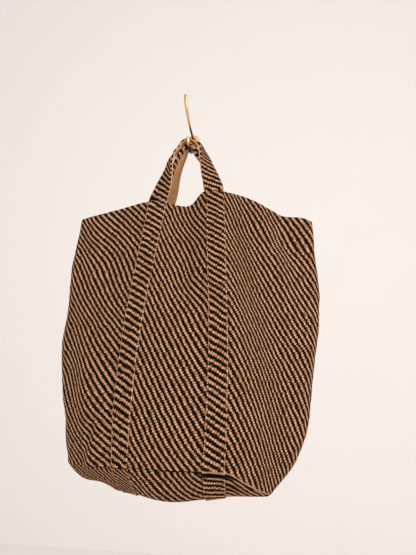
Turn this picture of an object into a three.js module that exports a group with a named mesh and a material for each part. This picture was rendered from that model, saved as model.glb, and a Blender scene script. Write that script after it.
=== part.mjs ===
// Jute carryall bag, hung by both handles on a brass wall hook.
// Millimetres, +Z up. The origin is the centre of the wall plate's back face, the wall is the plane y = 0,
// and the bag hangs in front of it, on the -Y side, with its left to -X.
import * as THREE from "three";

// Cloth and clearances
const BODY_CLOTH = 3;
const STRAP_CLOTH = 2.5;
const LINING_CLOTH = 1.5;
const SEWN_GAP = 0.3;
const LINING_GAP = 0.5;
const LAYER_GAP = 1.2;
const STRAP_WIDTH = 32;

// The bag's two side edges, from the mouth (v 0) to the bottom fold (v 1).
// round is the radius of the cloth where it turns from front to back.
const SIDES = [
  { v: 0.0, left: -211, right: 220, roundLeft: 7, roundRight: 7 },
  { v: 0.06, left: -215, right: 223, roundLeft: 8, roundRight: 8 },
  { v: 0.13, left: -221, right: 225, roundLeft: 10, roundRight: 10 },
  { v: 0.22, left: -227, right: 231, roundLeft: 13, roundRight: 13 },
  { v: 0.38, left: -230, right: 232, roundLeft: 16, roundRight: 16 },
  { v: 0.52, left: -240, right: 224, roundLeft: 18, roundRight: 18 },
  { v: 0.62, left: -238, right: 219, roundLeft: 19, roundRight: 18 },
  { v: 0.72, left: -236, right: 215, roundLeft: 20, roundRight: 17 },
  { v: 0.82, left: -230, right: 205, roundLeft: 20, roundRight: 15 },
  { v: 0.9, left: -228, right: 187, roundLeft: 20, roundRight: 13 },
  { v: 1.0, left: -223, right: 150, roundLeft: 20, roundRight: 10 },
];

// How far the bag stands from the wall: where front and back meet at its sides, and the middle of each.
const DEPTHS = [
  { v: 0.0, corner: -24, front: -54, back: -10 },
  { v: 0.1, corner: -29, front: -66, back: -10 },
  { v: 0.25, corner: -38, front: -84, back: -9 },
  { v: 0.5, corner: -49, front: -104, back: -9 },
  { v: 0.75, corner: -56, front: -114, back: -9 },
  { v: 1.0, corner: -60, front: -118, back: -12 },
];

// Heights across the bag, from its left edge (s -1) to its right edge (s 1): the rim of the mouth,
// the bottom fold of the front, and the lowest line of the sagging base.
const RIM = [
  { s: -1.0, z: -149 },
  { s: -0.72, z: -134 },
  { s: -0.44, z: -120 },
  { s: -0.35, z: -117 },
  { s: -0.24, z: -119 },
  { s: -0.13, z: -124 },
  { s: -0.05, z: -126 },
  { s: 0.0, z: -122 },
  { s: 0.09, z: -102 },
  { s: 0.19, z: -100 },
  { s: 0.28, z: -102 },
  { s: 0.48, z: -115 },
  { s: 0.67, z: -136 },
  { s: 0.76, z: -146 },
  { s: 0.92, z: -149 },
  { s: 1.0, z: -156 },
];
const FOLD = [
  { s: -1.0, z: -594 },
  { s: -0.8, z: -590 },
  { s: -0.3, z: -583 },
  { s: 0.4, z: -587 },
  { s: 0.62, z: -592 },
  { s: 0.8, z: -614 },
  { s: 1.0, z: -638 },
];
const SPINE = [
  { s: -1.0, z: -612 },
  { s: -0.9, z: -625 },
  { s: -0.72, z: -634 },
  { s: -0.5, z: -648 },
  { s: -0.06, z: -660 },
  { s: 0.25, z: -654 },
  { s: 0.6, z: -645 },
  { s: 1.0, z: -644 },
];
const SPINE_LEFT = -205;
const SPINE_RIGHT = 142;
const SPINE_Y = -64;
const BACK_RIM_DROP = 5;

// Middle and width of each strap on its panel, from the mouth to the bottom fold.
const FRONT_STRAPS = [
  { v: 0.0, left: -58, right: 48, leftWide: 32, rightWide: 32 },
  { v: 0.12, left: -66, right: 51, leftWide: 32, rightWide: 31 },
  { v: 0.5, left: -93, right: 60, leftWide: 32, rightWide: 33 },
  { v: 0.8, left: -108, right: 58, leftWide: 33, rightWide: 36 },
  { v: 1.0, left: -112, right: 52, leftWide: 28, rightWide: 38 },
];
const BACK_STRAPS = [
  { v: 0.0, left: -53, right: 41, leftWide: 32, rightWide: 32 },
  { v: 0.5, left: -86, right: 56, leftWide: 32, rightWide: 33 },
  { v: 1.0, left: -112, right: 52, leftWide: 30, rightWide: 34 },
];

// Folds of the hanging cloth. Each runs along a line from (x0, z0) to (x1, z1). ridge stands out from
// the panel, or is a trough where negative, and step lowers the cloth to the right of the line.
const FRONT_FOLDS = [
  { x0: 76, z0: -170, x1: 102, z1: -325, ridge: -5, step: 9, wide: 15 },
  { x0: 110, z0: -375, x1: 146, z1: -600, ridge: -4, step: 8, wide: 16 },
  { x0: 148, z0: -130, x1: 176, z1: -225, ridge: -4, step: 6, wide: 14 },
  { x0: -6, z0: -100, x1: -12, z1: -260, ridge: -12, step: 0, wide: 34 },
  { x0: -182, z0: -180, x1: -150, z1: -345, ridge: 4, step: 0, wide: 16 },
  { x0: -128, z0: -150, x1: -168, z1: -300, ridge: -4, step: 0, wide: 22 },
  { x0: -196, z0: -340, x1: -186, z1: -590, ridge: 4, step: -3, wide: 22 },
  { x0: -30, z0: -300, x1: -40, z1: -560, ridge: 4, step: 0, wide: 40 },
];
const BACK_FOLDS = [
  { x0: -150, z0: -160, x1: -175, z1: -420, ridge: -5, step: 0, wide: 26 },
  { x0: 120, z0: -150, x1: 165, z1: -480, ridge: -6, step: 0, wide: 28 },
  { x0: 0, z0: -110, x1: -5, z1: -300, ridge: -7, step: 0, wide: 30 },
];

// Legs of the handles, from the hook (f 0) to the mouth (f 1): twist turns the strap from facing up
// over the rod to lying on its panel, crease folds it lengthways, and turn moves its front edge to the
// left, all in degrees. out is its share of the way to the panel, and bow curves the leg outwards.
const FRONT_LEFT_LEG = [
  { f: 0.0, twist: 84, crease: 18, turn: 0, out: 0.0, bow: 0 },
  { f: 0.12, twist: 78, crease: 16, turn: 0, out: 0.04, bow: 6 },
  { f: 0.25, twist: 67, crease: 10, turn: 0, out: 0.21, bow: 8 },
  { f: 0.45, twist: 54, crease: 4, turn: 0, out: 0.62, bow: 3.6 },
  { f: 0.75, twist: 26, crease: 0, turn: 0, out: 0.94, bow: 0.4 },
  { f: 1.0, twist: 4, crease: 0, turn: 0, out: 1.0, bow: 0 },
];
const FRONT_RIGHT_LEG = [
  { f: 0.0, twist: 84, crease: 18, turn: 0, out: 0.0, bow: 0 },
  { f: 0.12, twist: 77, crease: 6, turn: 0, out: 0.04, bow: 2.2 },
  { f: 0.25, twist: 66, crease: 2, turn: 0, out: 0.2, bow: 2.6 },
  { f: 0.45, twist: 54, crease: 0, turn: 0, out: 0.62, bow: 1.6 },
  { f: 0.75, twist: 26, crease: 0, turn: 0, out: 0.94, bow: 0.3 },
  { f: 1.0, twist: 4, crease: 0, turn: 0, out: 1.0, bow: 0 },
];
const BACK_LEFT_LEG = [
  { f: 0.0, twist: 88, crease: 30, turn: 6, out: 0.0, bow: 0 },
  { f: 0.12, twist: 81, crease: 13, turn: 6, out: 0.02, bow: 3.7 },
  { f: 0.25, twist: 76, crease: 5, turn: 4, out: 0.08, bow: 5.6 },
  { f: 0.45, twist: 67, crease: 0, turn: 0, out: 0.36, bow: 5 },
  { f: 0.75, twist: 36, crease: 0, turn: 0, out: 0.68, bow: 1.5 },
  { f: 1.0, twist: 4, crease: 0, turn: 0, out: 1.0, bow: 0 },
];
const BACK_RIGHT_LEG = [
  { f: 0.0, twist: 88, crease: 30, turn: 6, out: 0.0, bow: 0 },
  { f: 0.12, twist: 85, crease: 10, turn: 6, out: 0.02, bow: 1.4 },
  { f: 0.25, twist: 81, crease: 3, turn: 4, out: 0.1, bow: 4 },
  { f: 0.45, twist: 69, crease: 0, turn: 0, out: 0.36, bow: 4 },
  { f: 0.75, twist: 36, crease: 0, turn: 0, out: 0.68, bow: 1.5 },
  { f: 1.0, twist: 4, crease: 0, turn: 0, out: 1.0, bow: 0 },
];
const HOOK_SEAT = { x: -1, y: -29, z: -25 };
const FRONT_SEAT_Y = -31;
const FRONT_PEAK = 2;
const FRONT_STAND = 6.5;
const CROOK_RADIUS = 2.2;

// The brass hook: one rod bent from the upper tip, past the plate, round the crook to the lower tip.
const ROD = [
  { x: -4.2, y: -62, z: 69.5, r: 3.0 },
  { x: -4.0, y: -61, z: 57, r: 2.8 },
  { x: -3.2, y: -56, z: 44, r: 2.5 },
  { x: -2.0, y: -44, z: 29, r: 2.1 },
  { x: -1.0, y: -29, z: 17, r: 1.9 },
  { x: -0.3, y: -15, z: 8, r: 1.9 },
  { x: 0, y: -9.2, z: -2, r: 2.1 },
  { x: 0, y: -10, z: -13, r: 2.2 },
  { x: -0.4, y: -17, z: -22, r: 2.2 },
  { x: -1.0, y: -29, z: -25, r: CROOK_RADIUS },
  { x: -1.7, y: -42, z: -21, r: 2.3 },
  { x: -2.2, y: -49, z: -11, r: 2.7 },
  { x: -2.4, y: -50.5, z: -2, r: 2.4 },
];
const ROD_SIDES = 10;
const ROD_RINGS = 44;
const PLATE_RADIUS = 12.5;
const PLATE_THICK = 3;
const BOSS_RADIUS = 4.2;
const BOSS_REACH = 6.6;

// Cells of the cloth grid
const CAP_CELLS = 3;
const OUTER_CELLS = 6;
const STRAP_CELLS = 2;
const MIDDLE_CELLS = 7;
const PANEL_ROWS = 28;
const BASE_ROWS = 6;
const LEG_CELLS = 9;
const ARCH_CELLS = 8;
const PANEL_CELLS = 2 * (CAP_CELLS + OUTER_CELLS + STRAP_CELLS) + MIDDLE_CELLS;
const LEFT_STRAP_COLUMN = CAP_CELLS + OUTER_CELLS;
const RIGHT_STRAP_COLUMN = LEFT_STRAP_COLUMN + STRAP_CELLS + MIDDLE_CELLS;

const vec = (x, y, z) => new THREE.Vector3(x, y, z);
const mix = THREE.MathUtils.lerp;
const radians = THREE.MathUtils.degToRad;

// A column of a table read at a place between its rows, along a smooth curve through them.
function along(table, key, at, column) {
  const last = table.length - 1;
  const place = THREE.MathUtils.clamp(at, table[0][key], table[last][key]);
  let i = 0;
  while (i < last - 1 && place > table[i + 1][key]) i += 1;
  const slope = (n) => {
    const a = table[Math.max(n - 1, 0)];
    const b = table[Math.min(n + 1, last)];
    return (b[column] - a[column]) / (b[key] - a[key]);
  };
  const span = table[i + 1][key] - table[i][key];
  const t = (place - table[i][key]) / span;
  const start = table[i][column] * (1 + 2 * t) * (1 - t) ** 2 + slope(i) * span * t * (1 - t) ** 2;
  const end = table[i + 1][column] * t * t * (3 - 2 * t) + slope(i + 1) * span * t * t * (t - 1);
  return start + end;
}

// How far the folds of one panel lift the cloth at a point.
function lift(folds, x, z) {
  let sum = 0;
  for (const fold of folds) {
    const length = fold.z0 - fold.z1;
    const t = (fold.z0 - z) / length;
    const away = x - mix(fold.x0, fold.x1, THREE.MathUtils.clamp(t, 0, 1));
    const past = Math.max(0, -t, t - 1) * length;
    const fade = Math.exp(-((past / (2 * fold.wide)) ** 2));
    const near = away / fold.wide;
    sum += fade * fold.ridge * Math.exp(-near * near);
    sum -= fade * fold.step * Math.tanh(1.5 * near) * Math.exp(-((near / 4) ** 2));
  }
  return sum;
}

const FACES = {
  front: {
    sign: -1,
    depth: "front",
    straps: FRONT_STRAPS,
    folds: FRONT_FOLDS,
    leftLeg: FRONT_LEFT_LEG,
    rightLeg: FRONT_RIGHT_LEG,
    seatY: FRONT_SEAT_Y,
    peak: FRONT_PEAK,
    fullness: 2.4,
    rimDrop: 0,
  },
  back: {
    sign: 1,
    depth: "back",
    straps: BACK_STRAPS,
    folds: BACK_FOLDS,
    leftLeg: BACK_LEFT_LEG,
    rightLeg: BACK_RIGHT_LEG,
    seatY: HOOK_SEAT.y,
    peak: 0,
    fullness: 6,
    rimDrop: BACK_RIM_DROP,
  },
};

// Where the columns of the grid stand across a panel: close together round the side edges, and with
// the edges of both straps on columns of their own.
function columnsAt(face, v) {
  const side = (name) => along(SIDES, "v", v, name);
  const strap = (name) => along(face.straps, "v", v, name);
  const leftHalf = strap("leftWide") / 2;
  const rightHalf = strap("rightWide") / 2;
  const stops = [
    { to: strap("left") - leftHalf, cells: OUTER_CELLS },
    { to: strap("left") + leftHalf, cells: STRAP_CELLS },
    { to: strap("right") - rightHalf, cells: MIDDLE_CELLS },
    { to: strap("right") + rightHalf, cells: STRAP_CELLS },
    { to: side("right") - side("roundRight"), cells: OUTER_CELLS },
  ];
  const turn = (i) => 1 - Math.cos(((Math.PI / 2) * i) / CAP_CELLS);
  const xs = [];
  for (let i = 0; i <= CAP_CELLS; i += 1) xs.push(side("left") + side("roundLeft") * turn(i));
  for (const stop of stops) {
    const from = xs[xs.length - 1];
    for (let i = 1; i <= stop.cells; i += 1) xs.push(mix(from, stop.to, i / stop.cells));
  }
  for (let i = CAP_CELLS - 1; i >= 0; i -= 1) xs.push(side("right") - side("roundRight") * turn(i));
  return xs;
}

// A point of the outer face of a panel.
function panelPoint(face, x, v) {
  const left = along(SIDES, "v", v, "left");
  const right = along(SIDES, "v", v, "right");
  const s = (2 * (x - left)) / (right - left) - 1;
  const round = along(SIDES, "v", v, s < 0 ? "roundLeft" : "roundRight");
  const fromEdge = Math.max(0, Math.min(x - left, right - x));
  const turned = Math.min(fromEdge, round);
  const cap = Math.sqrt(round * round - (round - turned) ** 2);
  const corner = along(DEPTHS, "v", v, "corner");
  const reach = Math.abs(along(DEPTHS, "v", v, face.depth) - corner);
  const swell = (reach - round) * (1 - Math.abs(s) ** face.fullness);
  const drop = face.rimDrop * (1 - v) * (1 - s ** 4);
  const z = mix(along(RIM, "s", s, "z") - drop, along(FOLD, "s", s, "z"), v);
  const calm = THREE.MathUtils.smoothstep(fromEdge, 0, 3 * round);
  return vec(x, corner + face.sign * (cap + swell + calm * lift(face.folds, x, z)), z);
}

// A point of the lowest line of the base, under one column of the front.
function spinePoint(x) {
  const left = SIDES[SIDES.length - 1].left;
  const right = SIDES[SIDES.length - 1].right;
  const s = (2 * (x - left)) / (right - left) - 1;
  return vec(mix(SPINE_LEFT, SPINE_RIGHT, (s + 1) / 2), SPINE_Y, along(SPINE, "s", s, "z"));
}

// The outer face of the bag as rows of points, front from left to right and then back from right to left.
function bodyRows() {
  const rows = [];
  for (let j = 0; j <= PANEL_ROWS + BASE_ROWS; j += 1) {
    const v = Math.min(1, j / PANEL_ROWS);
    const under = Math.max(0, j - PANEL_ROWS) / BASE_ROWS;
    const row = [];
    for (let k = 0; k < 2 * PANEL_CELLS; k += 1) {
      const face = k <= PANEL_CELLS ? FACES.front : FACES.back;
      const column = k <= PANEL_CELLS ? k : 2 * PANEL_CELLS - k;
      const point = panelPoint(face, columnsAt(face, v)[column], v);
      const spine = spinePoint(columnsAt(FACES.front, 1)[column]);
      const sag = Math.sin((Math.PI / 2) * under);
      row.push(vec(mix(point.x, spine.x, under), mix(point.y, spine.y, under), mix(point.z, spine.z, sag)));
    }
    rows.push(row);
  }
  return rows;
}

// A mesh geometry from points and triangles, turned to face outwards.
function solid(points, triangles) {
  const volume = triangles.reduce((sum, [a, b, c]) => {
    const cross = points[b].clone().cross(points[c]);
    return sum + points[a].dot(cross) / 6;
  }, 0);
  const faces = volume > 0 ? triangles : triangles.map(([a, b, c]) => [a, c, b]);
  const geometry = new THREE.BufferGeometry();
  geometry.setAttribute("position", new THREE.Float32BufferAttribute(points.flatMap((p) => p.toArray()), 3));
  geometry.setIndex(faces.flat());
  geometry.computeVertexNormals();
  return geometry;
}

const quad = (a, b, c, d) => [
  [a, b, c],
  [a, c, d],
];

// The bag's cloth: the outer face, an inner face one cloth thickness in, and the rim between them.
function makeBody() {
  const rows = bodyRows();
  const ring = 2 * PANEL_CELLS;
  const last = rows.length - 1;
  const outer = rows.slice(0, last).flat();
  outer.push(...rows[last].slice(0, PANEL_CELLS + 1));
  const at = (j, k) => {
    const around = (k + ring) % ring;
    const zipped = j === last && around > PANEL_CELLS ? ring - around : around;
    return j * ring + zipped;
  };
  const skin = [];
  for (let j = 0; j < last; j += 1) {
    for (let k = 0; k < ring; k += 1) {
      const corners = [at(j, k), at(j + 1, k), at(j + 1, k + 1), at(j, k + 1)];
      if (k >= PANEL_CELLS) corners.push(corners.shift());
      const cell = quad(...corners);
      skin.push(...cell.filter(([a, b, c]) => a !== b && b !== c && c !== a));
    }
  }
  const normals = outer.map(() => vec(0, 0, 0));
  for (const [a, b, c] of skin) {
    const ab = outer[b].clone().sub(outer[a]);
    const ac = outer[c].clone().sub(outer[a]);
    const normal = ab.cross(ac);
    for (const corner of [a, b, c]) normals[corner].add(normal);
  }
  normals.forEach((normal) => normal.normalize());
  const inner = outer.map((p, i) => p.clone().addScaledVector(normals[i], -BODY_CLOTH));
  const count = outer.length;
  const lining = skin.map(([a, b, c]) => [a + count, c + count, b + count]);
  const rim = [];
  for (let k = 0; k < ring; k += 1) {
    rim.push(...quad(at(0, k), at(0, k + 1), at(0, k + 1) + count, at(0, k) + count));
  }
  const surface = (j, k) => ({ point: outer[at(j, k)], normal: normals[at(j, k)] });
  return { geometry: solid([...outer, ...inner], [...skin, ...lining, ...rim]), surface, last, ring };
}

// Rows of a strap where it lies on the bag: its under face, point by point, with the cloth's normals.
// end shortens the last row, so that the two straps don't touch under the base.
function panelStrapRows(body, columns) {
  const rows = [];
  for (let j = 0; j <= body.last; j += 1) {
    const row = columns.map((k) => {
      const here = body.surface(j, k);
      const point = here.point.clone().addScaledVector(here.normal, SEWN_GAP);
      return { point, normal: here.normal.clone(), miter: 1 };
    });
    rows.push(row);
  }
  const stop = 0.9;
  rows[body.last].forEach((end, i) => {
    const before = rows[body.last - 1][i];
    end.point.lerpVectors(before.point, end.point, stop);
  });
  return rows;
}

// One row of a free handle from its middle, its direction, and how it lies: twisted, creased and turned.
function handleRow(face, middle, outward, lie) {
  const twist = radians(lie.twist);
  const crease = radians(lie.crease);
  const turn = radians(lie.turn);
  const toPanel = vec(Math.sin(turn), Math.cos(turn), 0).multiplyScalar(face.sign);
  const inward = outward.clone().negate();
  const across = inward.clone().multiplyScalar(Math.cos(twist)).addScaledVector(toPanel, Math.sin(twist));
  const normal = toPanel.clone().multiplyScalar(Math.cos(twist)).addScaledVector(outward, Math.sin(twist));
  const half = STRAP_WIDTH / 2;
  return [-1, 0, 1].map((u) => {
    const point = middle.clone();
    point.addScaledVector(across, u * half * Math.cos(crease));
    point.addScaledVector(normal, Math.abs(u) * half * Math.sin(crease));
    const leaning = normal.clone().multiplyScalar(Math.cos(crease));
    leaning.addScaledVector(across, -u * Math.sin(crease));
    return u === 0 ? { point, normal, miter: 1 / Math.cos(crease) } : { point, normal: leaning, miter: 1 };
  });
}

// Rows of a free handle from the left mouth rim, over the hook, to the right mouth rim.
function handleRows(face, leftRim, rightRim, radius) {
  const seat = vec(HOOK_SEAT.x, face.seatY, HOOK_SEAT.z);
  const leg = (rim, way, table) => {
    const dx = Math.abs(rim.x - seat.x);
    const dz = seat.z - rim.z;
    const reach = Math.hypot(dx, dz);
    const lean = Math.atan2(dx, dz) - Math.asin(radius / reach);
    const outward = vec(way * Math.cos(lean), 0, Math.sin(lean));
    const top = seat.clone().addScaledVector(outward, radius);
    return { lean, outward, top, rim, table };
  };
  const left = leg(leftRim, -1, face.leftLeg);
  const right = leg(rightRim, 1, face.rightLeg);
  const legRow = (side, f) => {
    const value = (name) => along(side.table, "f", f, name);
    const middle = side.top.clone().lerp(side.rim, f);
    middle.y = mix(seat.y, side.rim.y, value("out"));
    middle.addScaledVector(side.outward, value("bow"));
    const lie = { twist: value("twist"), crease: value("crease"), turn: value("turn") };
    return handleRow(face, middle, side.outward, lie);
  };
  const rows = [];
  for (let i = LEG_CELLS - 1; i > 0; i -= 1) rows.push(legRow(left, i / LEG_CELLS));
  for (let i = 0; i <= ARCH_CELLS; i += 1) {
    const angle = mix(Math.PI - left.lean, right.lean, i / ARCH_CELLS);
    const outward = vec(Math.cos(angle), 0, Math.sin(angle));
    const middle = seat.clone().addScaledVector(outward, radius);
    middle.z += face.peak * Math.sin((Math.PI * i) / ARCH_CELLS) ** 2;
    rows.push(handleRow(face, middle, outward, face.leftLeg[0]));
  }
  for (let i = 1; i < LEG_CELLS; i += 1) rows.push(legRow(right, i / LEG_CELLS));
  return rows;
}

// A strip of cloth between two heights above its rows.
function strip(rows, low, high) {
  const points = [];
  const wide = rows[0].length;
  for (const row of rows) {
    for (const height of [low, high]) {
      for (const { point, normal, miter } of row) {
        points.push(point.clone().addScaledVector(normal, height * miter));
      }
    }
  }
  const at = (j, layer, u) => (j * 2 + layer) * wide + u;
  const faces = [];
  for (let j = 0; j < rows.length - 1; j += 1) {
    for (let u = 0; u < wide - 1; u += 1) {
      faces.push(...quad(at(j, 0, u + 1), at(j + 1, 0, u + 1), at(j + 1, 0, u), at(j, 0, u)));
      faces.push(...quad(at(j + 1, 1, u), at(j + 1, 1, u + 1), at(j, 1, u + 1), at(j, 1, u)));
    }
    faces.push(...quad(at(j, 0, 0), at(j + 1, 0, 0), at(j + 1, 1, 0), at(j, 1, 0)));
    const edge = wide - 1;
    faces.push(...quad(at(j, 0, edge), at(j, 1, edge), at(j + 1, 1, edge), at(j + 1, 0, edge)));
  }
  const end = rows.length - 1;
  for (let u = 0; u < wide - 1; u += 1) {
    faces.push(...quad(at(0, 0, u), at(0, 1, u), at(0, 1, u + 1), at(0, 0, u + 1)));
    faces.push(...quad(at(end, 0, u), at(end, 0, u + 1), at(end, 1, u + 1), at(end, 1, u)));
  }
  return solid(points, faces);
}

// One strap and the lining of its free handle.
function makeStrap(body, face, radius) {
  const place = (k) => (face.sign < 0 ? k : body.ring - k);
  const leftColumns = [0, 1, 2].map((i) => place(LEFT_STRAP_COLUMN + i));
  const rightColumns = [2, 1, 0].map((i) => place(RIGHT_STRAP_COLUMN + i));
  const left = panelStrapRows(body, leftColumns).reverse();
  const right = panelStrapRows(body, rightColumns);
  const handle = handleRows(face, left[left.length - 1][1].point, right[0][1].point, radius);
  return {
    strap: strip([...left, ...handle, ...right], 0, STRAP_CLOTH),
    lining: strip(handle, -(LINING_GAP + LINING_CLOTH), -LINING_GAP),
  };
}

// The hook's rod, round in section, with its radius following the table and rounded tips.
function makeRod() {
  const curve = new THREE.CatmullRomCurve3(ROD.map((row) => vec(row.x, row.y, row.z)), false, "centripetal");
  const table = ROD.map((row, i) => ({ t: i / (ROD.length - 1), r: row.r }));
  const side = vec(1, 0, 0);
  const rings = [];
  const ringAt = (t, shift, scale) => {
    const tangent = curve.getTangent(t);
    const across = side.clone().addScaledVector(tangent, -side.dot(tangent)).normalize();
    const third = tangent.clone().cross(across);
    const middle = curve.getPoint(t).addScaledVector(tangent, shift);
    const radius = along(table, "t", t, "r") * scale;
    const ring = [];
    for (let i = 0; i < ROD_SIDES; i += 1) {
      const angle = (2 * Math.PI * i) / ROD_SIDES;
      const point = middle.clone().addScaledVector(across, radius * Math.cos(angle));
      ring.push(point.addScaledVector(third, radius * Math.sin(angle)));
    }
    rings.push(ring);
  };
  const tip = [70, 35];
  const first = ROD[0].r;
  const final = ROD[ROD.length - 1].r;
  for (const degrees of tip) ringAt(0, -first * Math.sin(radians(degrees)), Math.cos(radians(degrees)));
  for (let i = 0; i <= ROD_RINGS; i += 1) ringAt(i / ROD_RINGS, 0, 1);
  for (const degrees of tip.toReversed()) {
    ringAt(1, final * Math.sin(radians(degrees)), Math.cos(radians(degrees)));
  }
  const points = rings.flat();
  points.push(curve.getPoint(0).addScaledVector(curve.getTangent(0), -first));
  points.push(curve.getPoint(1).addScaledVector(curve.getTangent(1), final));
  const faces = [];
  const at = (j, i) => j * ROD_SIDES + (i % ROD_SIDES);
  const end = rings.length - 1;
  for (let j = 0; j < end; j += 1) {
    for (let i = 0; i < ROD_SIDES; i += 1) {
      faces.push(...quad(at(j, i), at(j + 1, i), at(j + 1, i + 1), at(j, i + 1)));
    }
  }
  for (let i = 0; i < ROD_SIDES; i += 1) {
    faces.push([points.length - 2, at(0, i), at(0, i + 1)]);
    faces.push([points.length - 1, at(end, i + 1), at(end, i)]);
  }
  return solid(points, faces);
}

// The wall plate: a round disc with an eased edge and a boss that carries the rod.
function makePlate() {
  const profile = [
    [0, 0],
    [PLATE_RADIUS, 0],
    [PLATE_RADIUS, PLATE_THICK - 1],
    [PLATE_RADIUS - 1, PLATE_THICK],
    [BOSS_RADIUS + 1.5, PLATE_THICK + 0.5],
    [BOSS_RADIUS, PLATE_THICK + 1.5],
    [BOSS_RADIUS, BOSS_REACH - 0.8],
    [BOSS_RADIUS - 0.8, BOSS_REACH],
    [0, BOSS_REACH],
  ].map(([radius, out]) => new THREE.Vector2(radius, out));
  const geometry = new THREE.LatheGeometry(profile, 32);
  geometry.rotateX(Math.PI);
  return geometry;
}

const TWILL = { color: 0x6b5540, roughness: 0.95, metalness: 0 };
const PLAIN_JUTE = { color: 0xb08a5c, roughness: 0.95, metalness: 0 };
const BRASS = { color: 0xc9973f, roughness: 0.25, metalness: 1 };

const group = new THREE.Group();
function add(name, geometry, look) {
  const mesh = new THREE.Mesh(geometry, new THREE.MeshStandardMaterial(look));
  mesh.name = name;
  group.add(mesh);
}

// Both handles lie over the rod, the back one under the front one, each over its lining.
const creased = (thickness, face) => thickness / Math.cos(radians(face.leftLeg[0].crease));
const lined = (face) => creased(LINING_GAP + LINING_CLOTH, face);
const lowerLayer = CROOK_RADIUS + SEWN_GAP + lined(FACES.back);
const overBack = lowerLayer + creased(STRAP_CLOTH, FACES.back) + LAYER_GAP;
const upperLayer = overBack + FRONT_STAND + lined(FACES.front);
const body = makeBody();
const front = makeStrap(body, FACES.front, upperLayer);
const back = makeStrap(body, FACES.back, lowerLayer);
add("bag_body", body.geometry, TWILL);
add("strap_front", front.strap, TWILL);
add("strap_back", back.strap, TWILL);
add("handle_lining_front", front.lining, PLAIN_JUTE);
add("handle_lining_back", back.lining, PLAIN_JUTE);
add("hook_rod", makeRod(), BRASS);
add("hook_plate", makePlate(), BRASS);

export default group;
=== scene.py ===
"""Jute carryall bag on a brass wall hook: cloth, straps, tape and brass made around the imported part."""

import functools
import math

import bpy
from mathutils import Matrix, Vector, noise


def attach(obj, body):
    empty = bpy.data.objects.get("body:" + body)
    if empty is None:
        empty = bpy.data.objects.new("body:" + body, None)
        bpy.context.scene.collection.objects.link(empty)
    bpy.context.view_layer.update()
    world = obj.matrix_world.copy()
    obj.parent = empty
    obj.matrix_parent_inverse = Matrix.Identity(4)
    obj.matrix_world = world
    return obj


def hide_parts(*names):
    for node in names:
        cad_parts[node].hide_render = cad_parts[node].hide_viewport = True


bl_info = {
    "name": "Jute carryall bag",
    "version": (1, 0, 0),
    "blender": (4, 5, 0),
    "location": "3D View > Sidebar > Carryall",
    "description": "Makes a twill jute bag that hangs by its straps on a brass hook",
    "category": "Object",
}

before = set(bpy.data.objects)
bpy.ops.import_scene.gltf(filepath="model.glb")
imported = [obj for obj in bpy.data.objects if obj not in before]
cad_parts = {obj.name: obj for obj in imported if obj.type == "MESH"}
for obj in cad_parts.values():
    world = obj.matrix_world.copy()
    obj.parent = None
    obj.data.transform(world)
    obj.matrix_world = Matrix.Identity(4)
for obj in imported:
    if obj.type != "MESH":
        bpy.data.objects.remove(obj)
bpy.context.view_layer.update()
MM = 0.001


def table(columns, *rows):
    """Rows of numbers as dictionaries, under the names of their columns."""
    return [dict(zip(columns.split(), row, strict=True)) for row in rows]


# The bag's two side edges, from the mouth (v 0) to the bottom fold (v 1), in millimetres.
# round is the radius of the cloth where it turns from front to back.
SIDES = table(
    "v left right round_left round_right",
    (0.0, -211, 220, 7, 7),
    (0.06, -215, 223, 8, 8),
    (0.13, -221, 225, 10, 10),
    (0.22, -227, 231, 13, 13),
    (0.38, -230, 232, 16, 16),
    (0.52, -240, 224, 18, 18),
    (0.62, -238, 219, 19, 18),
    (0.72, -236, 215, 20, 17),
    (0.82, -230, 203, 20, 15),
    (0.9, -228, 185, 20, 13),
    (1.0, -223, 147, 20, 10),
)

# How far the bag stands from the wall: where front and back meet at its sides, and the middle of each.
DEPTHS = table(
    "v corner front back",
    (0.0, -24, -54, -10),
    (0.1, -29, -66, -10),
    (0.25, -38, -84, -9),
    (0.5, -49, -104, -9),
    (0.75, -56, -114, -9),
    (1.0, -60, -118, -12),
)

# Heights across the bag from its left edge (s -1) to its right edge (s 1).
RIM = table(
    "s z",
    (-1.0, -147),
    (-0.72, -134),
    (-0.44, -120),
    (-0.35, -117),
    (-0.24, -119),
    (-0.13, -124),
    (-0.05, -126),
    (0.0, -122),
    (0.09, -102),
    (0.19, -100),
    (0.28, -102),
    (0.48, -115),
    (0.67, -136),
    (0.76, -146),
    (0.92, -149),
    (1.0, -156),
)
FOLD = table(
    "s z",
    (-1.0, -594),
    (-0.8, -590),
    (-0.3, -583),
    (0.4, -587),
    (0.62, -592),
    (0.8, -614),
    (1.0, -638),
)
SPINE = table(
    "s z",
    (-1.0, -612),
    (-0.9, -625),
    (-0.72, -634),
    (-0.5, -648),
    (-0.06, -660),
    (0.25, -654),
    (0.6, -645),
    (1.0, -644),
)
# How much higher than that the lowest line of the cloth lies in places, by x.
SPINE_RISE = table(
    "x rise",
    (-205, 0.5),
    (-184, 1.5),
    (-167, 4.5),
    (-150, 7),
    (-137, 6),
    (-127, 3.5),
    (-114, 6.5),
    (-101, 8),
    (-88, 7),
    (-62, 3.5),
    (-36, 2),
    (0, 0),
    (60, 1),
    (142, 3),
)
SPINE_LEFT = -205
SPINE_RIGHT = 139
SPINE_Y = -64
BACK_RIM_DROP = 5

# Middle and width of each strap on its panel, from the mouth to the bottom fold.
FRONT_STRAPS = table(
    "v left right left_wide right_wide",
    (0.0, -58, 48, 32, 32),
    (0.12, -66, 51, 32, 31),
    (0.5, -93, 60, 32, 33),
    (0.8, -108, 58, 33, 36),
    (1.0, -112, 52, 28, 38),
)
BACK_STRAPS = table(
    "v left right left_wide right_wide",
    (0.0, -53, 41, 32, 32),
    (0.5, -86, 56, 32, 33),
    (1.0, -112, 52, 30, 34),
)

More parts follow.
